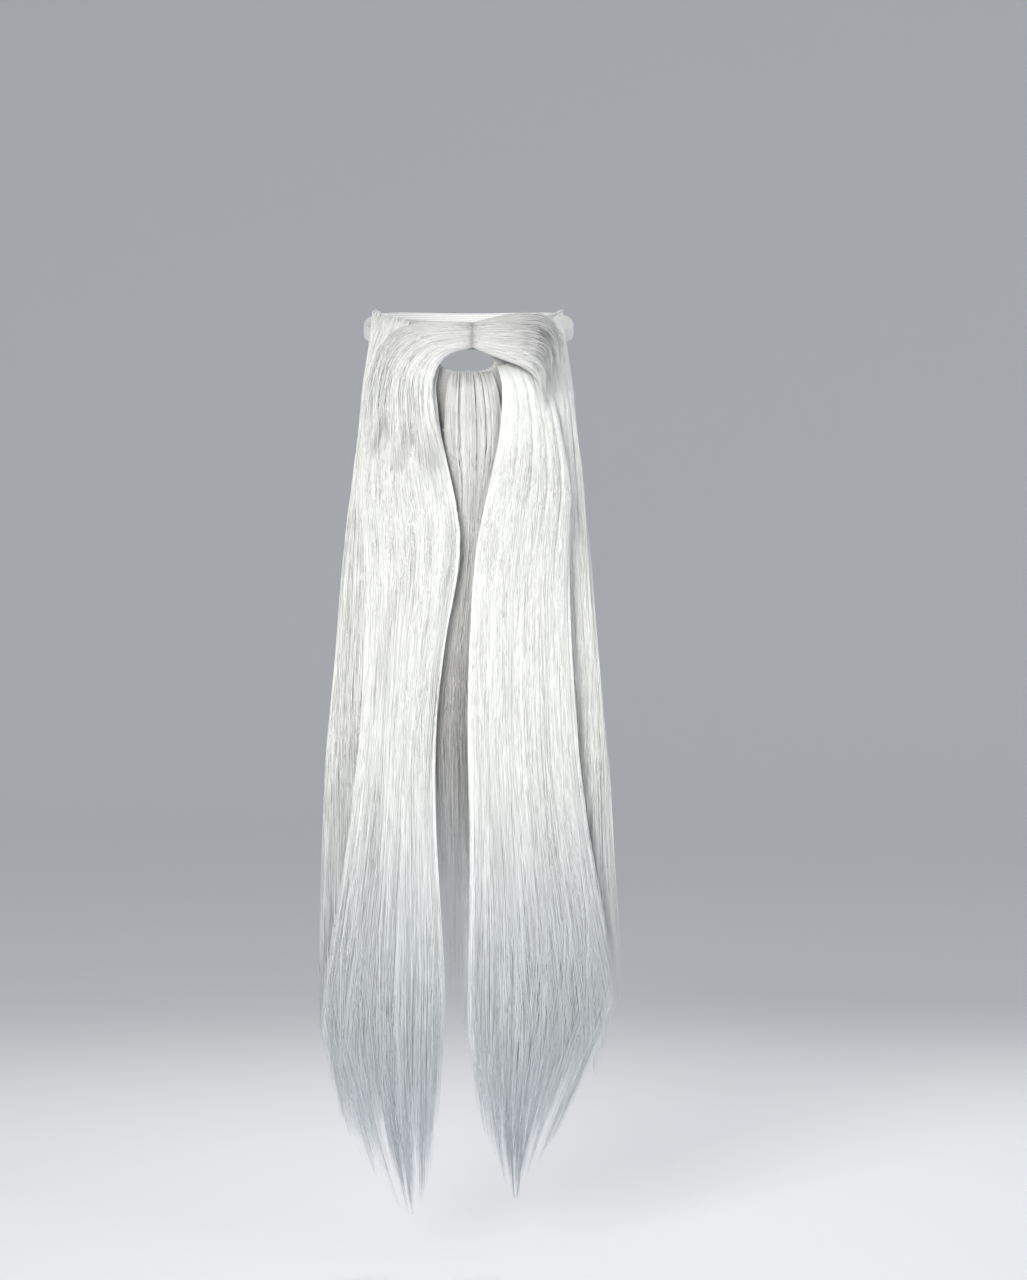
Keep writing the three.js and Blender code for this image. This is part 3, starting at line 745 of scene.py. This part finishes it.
def strand_lines(piece, rng):
    """Centre lines of the strands. A strand leaves the cloth at the depth of lift and soon takes its own. Its
    place across drifts towards its wisp's as it goes down, with two slow waves and a lean, and its end lies a
    random way short of the lock's. A few strays swing wider."""
    count, wisps = piece["strands"], piece["wisps"]
    wisp_u = np.sort(rng.uniform(0, 1, wisps))
    wisp_depth = rng.uniform(*WISP_DEPTHS, wisps)
    wisp_end = rng.uniform(*piece["ragged"], wisps)
    low, high = piece["overhang"]
    start_u = rng.uniform(low, high, count)
    wisp = np.clip(np.searchsorted(wisp_u, start_u + rng.normal(0, 0.5 / wisps, count)), 0, wisps - 1)
    start_u = start_u + (wisp_u[wisp] - start_u) * piece["gather"] * rng.uniform(0.4, 1.0, count)
    layer = rng.random(count)
    in_front, between = rng.uniform(LAYER_DEPTH, 1.0, count), rng.uniform(-1.0, LAYER_DEPTH, count)
    own_depth = np.where(layer < FRONT_LAYER, in_front, between)
    own_depth = np.where(layer > 1 - BACK_LAYER, rng.uniform(-1.0, -LAYER_DEPTH, count), own_depth)
    start = piece["spread"] * rng.random(count) ** piece["sparse"]
    v = np.linspace(0, 1, piece["steps"])[None] ** ROOT_POWER
    pull = smooth_step(v, PULL_START, 1.0) * rng.uniform(0.1, 1.0, (count, 1)) * piece["clump"]
    u = start_u[:, None] + (wisp_u[wisp] - start_u)[:, None] * pull
    end = lock_ends(piece["tips"], u[:, -1])[0] * wisp_end[wisp]
    shorter = piece["thinning"] * rng.random(count) ** SHORT_POWER
    end = np.maximum(end * (1 - shorter), start + SHORTEST)
    share = start[:, None] + v * np.minimum(end, 1.0)[:, None] - v * start[:, None]
    depth = own_depth[:, None] + (wisp_depth[wisp] - own_depth)[:, None] * smooth_step(v, 0.6, 1.0) * pull
    depth = depth + (SETTLED_DEPTH - depth) * smooth_step(v, 0.3, 1.0) * piece["settle"]
    rooted = piece["lift"] + 0.3 * own_depth[:, None]
    depth = rooted + (depth - rooted) * smooth_step(v, 0, 0.1)
    stray = piece["loose"] * (1 + STRAY_SWING * (rng.random(count) < STRAY_SHARE)[:, None])
    phase, swing = rng.uniform(0, 2 * np.pi, (2, count, 1)), rng.normal(0, 1, (3, count, 1))
    slow, fast = WAVE_RATES
    wave = swing[0] * np.sin(v * slow + phase[0]) + 0.2 * swing[1] * np.sin(v * fast + phase[1])
    lean = (wave * v * WAVE_SIZE + swing[2] * LEAN_SIZE * v**3) * stray
    across = hair_place(piece, np.array([0.0, 1.0]), np.full(2, 0.5), np.zeros(2))
    width = np.linalg.norm(across[1] - across[0])
    u = np.clip(u + lean / width, min(low, -0.02), max(high, 1.02))
    depth = np.clip(depth + 0.05 * wave * v * stray, -1.05, 1.15)
    lines = hair_place(piece, u, share, depth)
    for at, beside, reach in ((0, 2, piece["reach"]), (-1, -2, piece["trail"])):
        ahead = lines[:, at] - lines[:, beside]
        ahead /= np.linalg.norm(ahead, axis=1, keepdims=True)
        lines[:, at] += ahead * reach * rng.random((count, 1))
    return lines, u, v, own_depth


def hair_uv(across, points, inner):
    """UV places: across the piece in the left half of the square, or in the right half for inner hair, which the
    material paints darker as shade, and down the whole beard from its top to its lowest tip."""
    down = (cad_high.z / MM - points[:, 2]) / ((cad_high.z - cad_low.z) / MM)
    return np.stack([0.01 + 0.48 * np.clip(across, 0, 1) + 0.5 * inner, np.clip(down, 0.002, 0.998)], -1)


HAIR_GRAIN = (520.0, 10.0)
LOCK_GRAIN = (46.0, 2.2)
# Painted shade in the hair's colour: darker towards the top of the beard, down to this share of its height.
TOP_SHADE_END = 0.13
# Painted shade towards the tips: darker and bluish from this share of the height down, in this tint.
TIP_START = 0.5
TIP_TINT = (0.73, 0.775, 0.84)
HAIR_STOPS = [
    (0.3, (0.57, 0.565, 0.555)),
    (0.6, (0.79, 0.79, 0.778)),
    (0.85, (0.9, 0.912, 0.89)),
    (1.0, (0.965, 0.965, 0.94)),
]


def silky_fibre(name, tone, contrast, top_shade):
    """White fibre whose tone changes from hair to hair and from lock to lock and is warm white below the face.
    Painted shade makes it darker towards the top, darker and bluish towards the tips, and darker for inner hair
    and the core, deep among the strands."""
    shader = Shader(name)
    across, down = shader.uv()
    hairs = shader.noise(across * HAIR_GRAIN[0], down * HAIR_GRAIN[1])
    locks = shader.noise(across * LOCK_GRAIN[0], down * LOCK_GRAIN[1])
    streaks = (hairs - 0.5) * 0.36 + (locks - 0.5) * 0.26
    # Painted shade: inner hair and the core, in the right half of the UV square, are darker.
    inner = across.math("GREATER_THAN", 0.5) * 0.16
    # Painted shade: the tone is darker towards the top of the beard.
    upper = (TOP_SHADE_END - down).math("MAXIMUM", 0.0) * top_shade
    # Painted shade: the tone is darker towards the tips.
    lower = (down - 0.35).math("MAXIMUM", 0.0) * 0.22
    shade = tone + streaks * contrast - inner - upper - lower
    white = shader.value("ValToRGB", {"stops": HAIR_STOPS}, Fac=shade)
    # Painted bluish shade over the tips, by the tint the colour is multiplied with.
    cool = ((down - TIP_START).math("MAXIMUM", 0.0) * 2.2).math("MINIMUM", 1.0)
    colour = shader.multiply(white, TIP_TINT, cool)
    return shader.finish(
        Base_Color=colour,
        Roughness=0.28 + hairs * 0.26,
        Specular_IOR_Level=0.45,
        Sheen_Weight=0.15,
    )


# What holds for a piece of hair where its call says nothing else.
PLAIN_HAIR = dict(
    steps=9,  # the points of a strand
    # Strands below this depth are painted darker, as shade deep in the hair.
    shaded_depth=0.5,  # the depth below which a strand counts as inner hair
    core=(0.015, 0.78),  # the shares where the core starts and ends
    core_depth=(-0.65, 0.6),  # the depths of the core's back and front
    lift=-0.9,  # the depth where the roots start
    folding=1.0,  # how strong the folds are
    spread=0.03,  # how far down the roots start
    sparse=1.0,  # how few of them start far down
    overhang=(0.0, 1.0),  # how far strands lie across the two edges
    ragged=(0.9, 1.03),  # the shares of its lock's length at which a wisp may end
    gather=0.0,  # how much the roots bunch
    loose=1.0,  # how strong the waves are
    settle=0.0,  # how far the ends lie back
    reach=0.0,  # the most that a strand runs on at its root, in mm
    trail=0.0,  # the most that it runs on at its tip, in mm
    clump=0.7,  # how far strands draw together at their ends
    girth=1.0,  # how thick they are, as a share of the plain strand
    material=None,  # silky_hair, unless a call names another
)
RIDGE_STEP = 0.0012


def make_hair(node, seed, **facts):
    """A piece of hair that stands for a node: its strands over its core. rows is a table of COLUMNS, with sides
    as shares of the half width and the last two as shares of HAIR_DEPTH. tips says where each lock ends, leaving
    the share in which the hair comes off the cloth, and thinning how much shorter the shortest strands are."""
    rng = np.random.default_rng(seed)
    piece = {**PLAIN_HAIR, **facts, "phases": rng.uniform(0, 2 * np.pi, len(FOLD_WAVES))}
    strands = piece["strands"]
    lines, across, v, depth = strand_lines(piece, rng)
    radius = STRAND_RADIUS * piece["girth"] * rng.uniform(0.75, 1.15, (strands, 1)) * (1 - 0.8 * v**3)
    points, quads, triangles = tubes(lines, radius, rng.uniform(0, 2 * np.pi, strands))
    core_points, core_quads, core_across = hair_core(piece)
    ridge = np.arange(3) * RIDGE_STEP + across[:, :1, None] + 0 * across[:, :, None]
    inner = np.repeat(depth < piece["shaded_depth"], piece["steps"] * 3)
    uv = np.concatenate([
        hair_uv(ridge.ravel(), points, inner),
        # The core counts as inner hair, so it is painted darker, as shade under the strands.
        hair_uv(core_across, core_points, True),
    ])
    quads = np.concatenate([quads, core_quads + len(points)])
    made = new_piece("hair_" + node, np.concatenate([points, core_points]) * MM, quads, triangles, uv)
    made.data.materials.append(piece["material"] or silky_hair)
    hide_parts(node)
    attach(made, "root")


silky_hair = silky_fibre("silky_hair", 0.9, 1.0, 1.3)
make_hair(
    "neck_fall",
    seed=1,
    rows=[
        (0.8, -0.68, 0.8, 0.68, 0.068, 0.11),
        (1.0, -0.66, 1.0, 0.66, -0.12, 0.16),
        (1.04, -0.66, 1.04, 0.66, -0.02, 0.2),
        (1.14, -0.62, 1.14, 0.63, 0.1, 0.22),
        (1.32, -0.56, 1.32, 0.57, 0.12, 0.24),
        (1.52, -0.47, 1.52, 0.47, 0.12, 0.24),
        (1.65, -0.46, 1.65, 0.46, 0.1, 0.2),
        (1.76, -0.44, 1.76, 0.42, 0.1, 0.1),
    ],
    tips=[0.93, 0.98, 0.93, 1.0, 0.92, 1.0, 0.94],
    leaving=0.12,
    strands=1500,
    wisps=60,
    thinning=0.35,
    core=(0.015, 0.72),
    ragged=(0.78, 1.14),
)

# The cheek falls: the shorter hair that hangs from the two ends of the cloth, beside and behind the front falls.
# It is sewn on from the top of the cloth's ends down to its lower edge, so that none of the knit shows.
CHEEK_HAIR = dict(
    leaving=0.1,
    strands=1650,
    wisps=50,
    thinning=0.36,
    overhang=(-0.08, 1.03),
    reach=8.0,
)
make_hair(
    "cheek_fall_right",
    seed=2,
    rows=[
        (0.03, -0.63, -0.08, -0.965, 0.06, 0.11),
        (0.37, -0.8, 0.37, -0.985, 0.13, 0.22),
        (0.86, -0.825, 0.86, -0.98, 0.22, 0.3),
        (1.04, -0.775, 1.04, -0.96, 0.3, 0.34),
        (1.14, -0.665, 1.14, -0.91, 0.3, 0.36),
        (1.32, -0.6, 1.32, -0.81, 0.24, 0.32),
        (1.52, -0.5, 1.52, -0.77, 0.22, 0.3),
        (1.71, -0.5, 1.71, -0.8, 0.22, 0.26),
        (1.8, -0.55, 1.8, -0.78, 0.2, 0.2),
        (1.88, -0.6, 1.88, -0.72, 0.2, 0.1),
    ],
    tips=[0.9, 0.97, 1.0, 0.93],
    **CHEEK_HAIR,
)
make_hair(
    "cheek_fall_left",
    seed=3,
    rows=[
        (0.03, 0.72, -0.08, 0.965, 0.055, 0.11),
        (0.37, 0.8, 0.37, 0.985, 0.13, 0.22),
        (0.86, 0.825, 0.86, 0.98, 0.22, 0.3),
        (1.04, 0.785, 1.04, 0.96, 0.3, 0.34),
        (1.14, 0.68, 1.14, 0.91, 0.3, 0.36),
        (1.32, 0.62, 1.32, 0.81, 0.24, 0.32),
        (1.52, 0.5, 1.52, 0.78, 0.22, 0.3),
        (1.68, 0.5, 1.68, 0.83, 0.22, 0.26),
        (1.76, 0.58, 1.76, 0.83, 0.2, 0.2),
        (1.83, 0.64, 1.83, 0.78, 0.2, 0.1),
    ],
    tips=[0.88, 1.0, 0.96, 0.9],
    **CHEEK_HAIR,
)

# The chin tuft: thin, sparse hair sewn under the mouth, which lies back in the keyhole between the front falls
# and runs on down the middle valley.
# Painted shade: the same white hair, painted darker and streakier for its place deep in the keyhole.
shaded_tuft_hair = silky_fibre("shaded_tuft_hair", 0.46, 1.8, 0.0)
make_hair(
    "chin_tuft",
    seed=4,
    rows=[
        (0.405, -0.17, 0.405, 0.25, 0.05, 0.1),
        (0.62, -0.2, 0.62, 0.31, 0.1, 0.13),
        (1.0, -0.19, 1.0, 0.3, 0.19, 0.17),
        (1.04, -0.13, 1.04, 0.23, 0.21, 0.19),
        (1.14, -0.13, 1.14, 0.16, 0.34, 0.21),
        (1.32, -0.25, 1.32, 0.08, 0.39, 0.22),
        (1.52, -0.22, 1.52, 0.09, 0.38, 0.19),
        (1.74, -0.17, 1.74, 0.06, 0.34, 0.1),
    ],
    tips=[0.96, 1.0, 0.95],
    leaving=0.25,
    strands=1200,
    wisps=30,
    thinning=0.3,
    core=(0.08, 0.8),
    folding=0.5,
    gather=0.7,
    spread=0.05,
    reach=4.0,
    lift=-0.5,
    material=shaded_tuft_hair,
    loose=2.0,
    overhang=(-0.06, 1.06),
    core_depth=(-0.65, -0.6),
)

# The front falls: the two long, full lengths of hair that show most, each with its pointed lobe. They are sewn on
# under the moustache's wings and beside the chin.
FRONT_HAIR = dict(
    leaving=0.1,
    strands=3200,
    wisps=90,
    thinning=0.36,
    core=(0.015, 0.8),
    overhang=(-0.03, 1.04),
    lift=-0.3,
)
make_hair(
    "front_fall_right",
    seed=5,
    rows=[
        (0.33, -0.28, 0.16, -0.7, 0.055, 0.11),
        (0.61, -0.3, 0.61, -0.79, 0.23, 0.28),
        (1.04, -0.125, 1.04, -0.735, 0.6, 0.5),
        (1.14, -0.06, 1.14, -0.62, 0.72, 0.54),
        (1.32, -0.195, 1.32, -0.56, 0.76, 0.5),
        (1.52, -0.165, 1.52, -0.585, 0.74, 0.46),
        (1.71, -0.13, 1.71, -0.72, 0.7, 0.4),
        (1.84, -0.155, 1.84, -0.67, 0.62, 0.32),
        (1.95, -0.185, 1.95, -0.5, 0.52, 0.2),
        (2.0, -0.24, 2.0, -0.38, 0.46, 0.1),
    ],
    tips=[0.95, 1.0, 0.98, 0.95, 0.9],
    **FRONT_HAIR,
)
make_hair(
    "front_fall_left",
    seed=6,
    rows=[
        (0.33, 0.315, 0.2, 0.72, 0.055, 0.11),
        (0.61, 0.35, 0.61, 0.79, 0.23, 0.28),
        (1.04, 0.19, 1.04, 0.745, 0.6, 0.5),
        (1.14, 0.075, 1.14, 0.64, 0.72, 0.54),
        (1.32, 0.025, 1.32, 0.58, 0.76, 0.5),
        (1.52, 0.045, 1.52, 0.6, 0.74, 0.46),
        (1.71, 0.03, 1.71, 0.755, 0.7, 0.4),
        (1.84, 0.06, 1.84, 0.57, 0.62, 0.32),
        (1.95, 0.185, 1.95, 0.37, 0.52, 0.2),
        (1.985, 0.24, 1.985, 0.3, 0.46, 0.1),
    ],
    tips=[0.93, 1.0, 0.98, 0.94, 0.88],
    **FRONT_HAIR,
)

# The moustache: its right wing sweeps out and turns down into the beard, and its left wing is a puffy roll with
# its ends turned under. Both are sewn along the whole lip, so that their hair starts all the way across.
# Painted light and shade: the white hair made lighter against the wings' shade, and much darker at the top.
moustache_hair = silky_fibre("moustache_hair", 0.98, 0.8, 7.0)
WING_HAIR = dict(
    leaving=0.5,
    thinning=0.35,
    folding=0.3,
    sparse=1.3,
    reach=2.0,
    lift=0.5,
    clump=0.3,
    girth=1.3,
    steps=11,
    shaded_depth=-2.0,
    material=moustache_hair,
)
make_hair(
    "moustache_right",
    seed=7,
    rows=[
        (0.2, 0.05, 0.01, 0.05, 0.112, 0.22),
        (0.235, -0.11, 0.0, -0.17, 0.2, 0.28),
        (0.3, -0.21, 0.01, -0.45, 0.31, 0.3),
        (0.45, -0.27, 0.12, -0.66, 0.42, 0.32),
        (0.68, -0.25, 0.4, -0.76, 0.56, 0.28),
        (0.93, -0.185, 0.74, -0.775, 0.7, 0.19),
        (1.04, -0.115, 1.0, -0.76, 0.84, 0.1),
    ],
    tips=[0.95, 1.0, 0.96],
    strands=2250,
    wisps=70,
    core=(0.03, 0.75),
    core_depth=(-1.0, 0.3),
    spread=0.5,
    trail=8.0,
    settle=0.5,
    **WING_HAIR,
)
make_hair(
    "moustache_left",
    seed=8,
    rows=[
        (0.2, 0.062, 0.01, 0.062, 0.112, 0.22),
        (0.245, 0.18, -0.02, 0.2, 0.21, 0.3),
        (0.3, 0.34, -0.055, 0.4, 0.31, 0.38),
        (0.36, 0.51, -0.07, 0.6, 0.38, 0.4),
        (0.46, 0.6, 0.05, 0.75, 0.43, 0.3),
        (0.6, 0.61, 0.33, 0.79, 0.44, 0.13),
    ],
    tips=[1.0, 0.94, 0.97],
    strands=1700,
    wisps=60,
    core=(0.03, 0.8),
    core_depth=(-1.0, 0.4),
    spread=0.55,
    trail=14.0,
    settle=0.6,
    **WING_HAIR,
)
